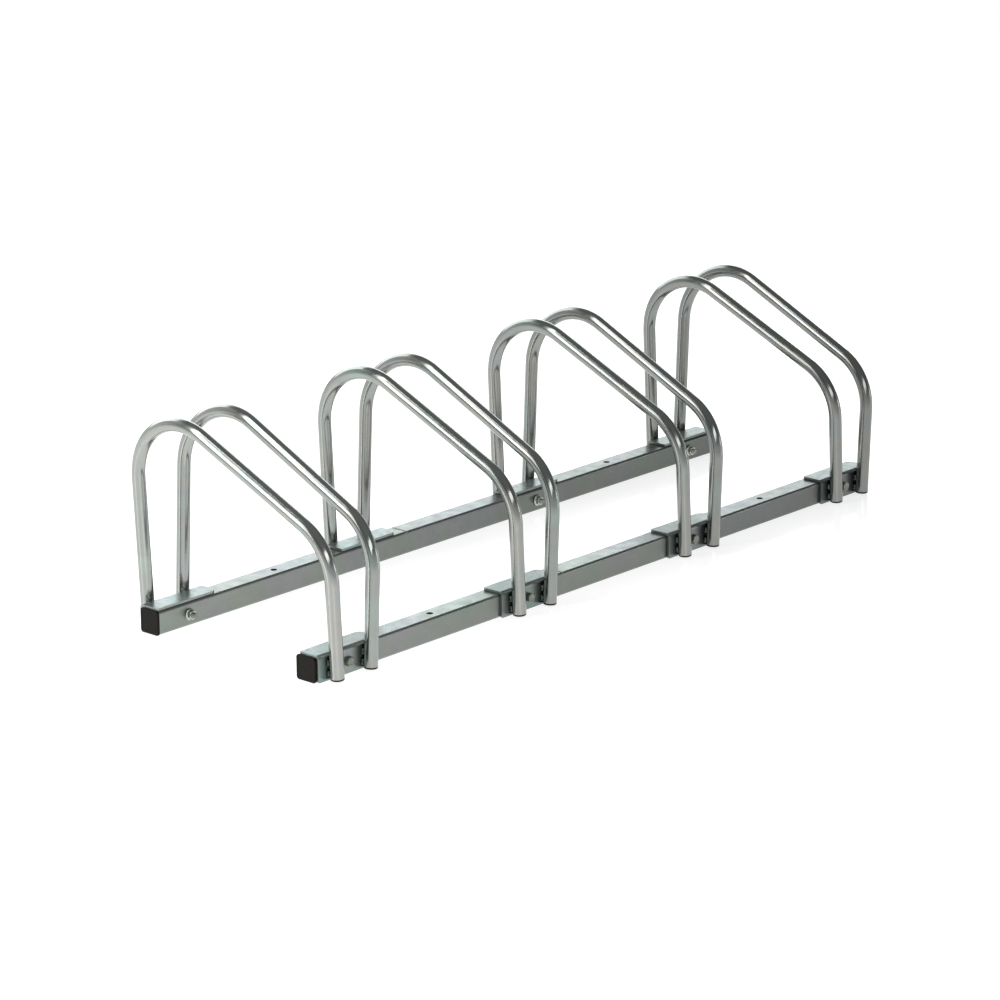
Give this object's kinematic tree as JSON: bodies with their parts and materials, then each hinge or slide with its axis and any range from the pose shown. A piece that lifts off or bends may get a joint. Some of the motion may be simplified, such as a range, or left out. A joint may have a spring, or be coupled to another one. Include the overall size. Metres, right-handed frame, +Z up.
{
  "type": "floor bike rack",
  "caption": "Free-standing floor rack for bicycles: two square-tube rails crossed by pairs of bent, splayed tube hoops on bolted brackets.",
  "frame": {"origin": "on the floor, below the middle of the rack", "axes": "+X along the rails, -Y towards the low side of the hoops, +Z up"},
  "size_m": [1, 0.3152, 0.2598],
  "materials": {
    "zinc_tube": "bright zinc plating on drawn tube, glossy",
    "zinc_rail": "bright zinc plating, satin, faint bluish and greenish tints",
    "zinc_sheet": "bright zinc plating on pressed sheet, semi-gloss, pale green tint",
    "zinc_fastener": "zinc plating, faint yellow tint",
    "black_plastic": "moulded black plastic, satin"
  },
  "bodies": {
    "root": {"rail_front_left": "zinc_rail", "rail_front_right": "zinc_rail", "end_cap_front_left": "black_plastic", "end_cap_front_right": "black_plastic", "bracket_front_1": "zinc_sheet", "bolt_front_1": "zinc_fastener", "nut_front_1": "zinc_fastener", "bracket_front_2": "zinc_sheet", "bolt_front_2": "zinc_fastener", "nut_front_2": "zinc_fastener", "bracket_front_3": "zinc_sheet", "bolt_front_3": "zinc_fastener", "nut_front_3": "zinc_fastener", "bracket_front_4": "zinc_sheet", "bolt_front_4": "zinc_fastener", "nut_front_4": "zinc_fastener", "rail_rear_left": "zinc_rail", "rail_rear_right": "zinc_rail", "end_cap_rear_left": "black_plastic", "end_cap_rear_right": "black_plastic", "bracket_rear_1": "zinc_sheet", "bolt_rear_1": "zinc_fastener", "nut_rear_1": "zinc_fastener", "bracket_rear_2": "zinc_sheet", "bolt_rear_2": "zinc_fastener", "nut_rear_2": "zinc_fastener", "bracket_rear_3": "zinc_sheet", "bolt_rear_3": "zinc_fastener", "nut_rear_3": "zinc_fastener", "bracket_rear_4": "zinc_sheet", "bolt_rear_4": "zinc_fastener", "nut_rear_4": "zinc_fastener", "hoop_1_left": "zinc_tube", "leg_plug_1_left_front": "black_plastic", "leg_plug_1_left_rear": "black_plastic", "hoop_1_right": "zinc_tube", "leg_plug_1_right_front": "black_plastic", "leg_plug_1_right_rear": "black_plastic", "hoop_2_left": "zinc_tube", "leg_plug_2_left_front": "black_plastic", "leg_plug_2_left_rear": "black_plastic", "hoop_2_right": "zinc_tube", "leg_plug_2_right_front": "black_plastic", "leg_plug_2_right_rear": "black_plastic", "hoop_3_left": "zinc_tube", "leg_plug_3_left_front": "black_plastic", "leg_plug_3_left_rear": "black_plastic", "hoop_3_right": "zinc_tube", "leg_plug_3_right_front": "black_plastic", "leg_plug_3_right_rear": "black_plastic", "hoop_4_left": "zinc_tube", "leg_plug_4_left_front": "black_plastic", "leg_plug_4_left_rear": "black_plastic", "hoop_4_right": "zinc_tube", "leg_plug_4_right_front": "black_plastic", "leg_plug_4_right_rear": "black_plastic"}
  },
  "joints": []
}
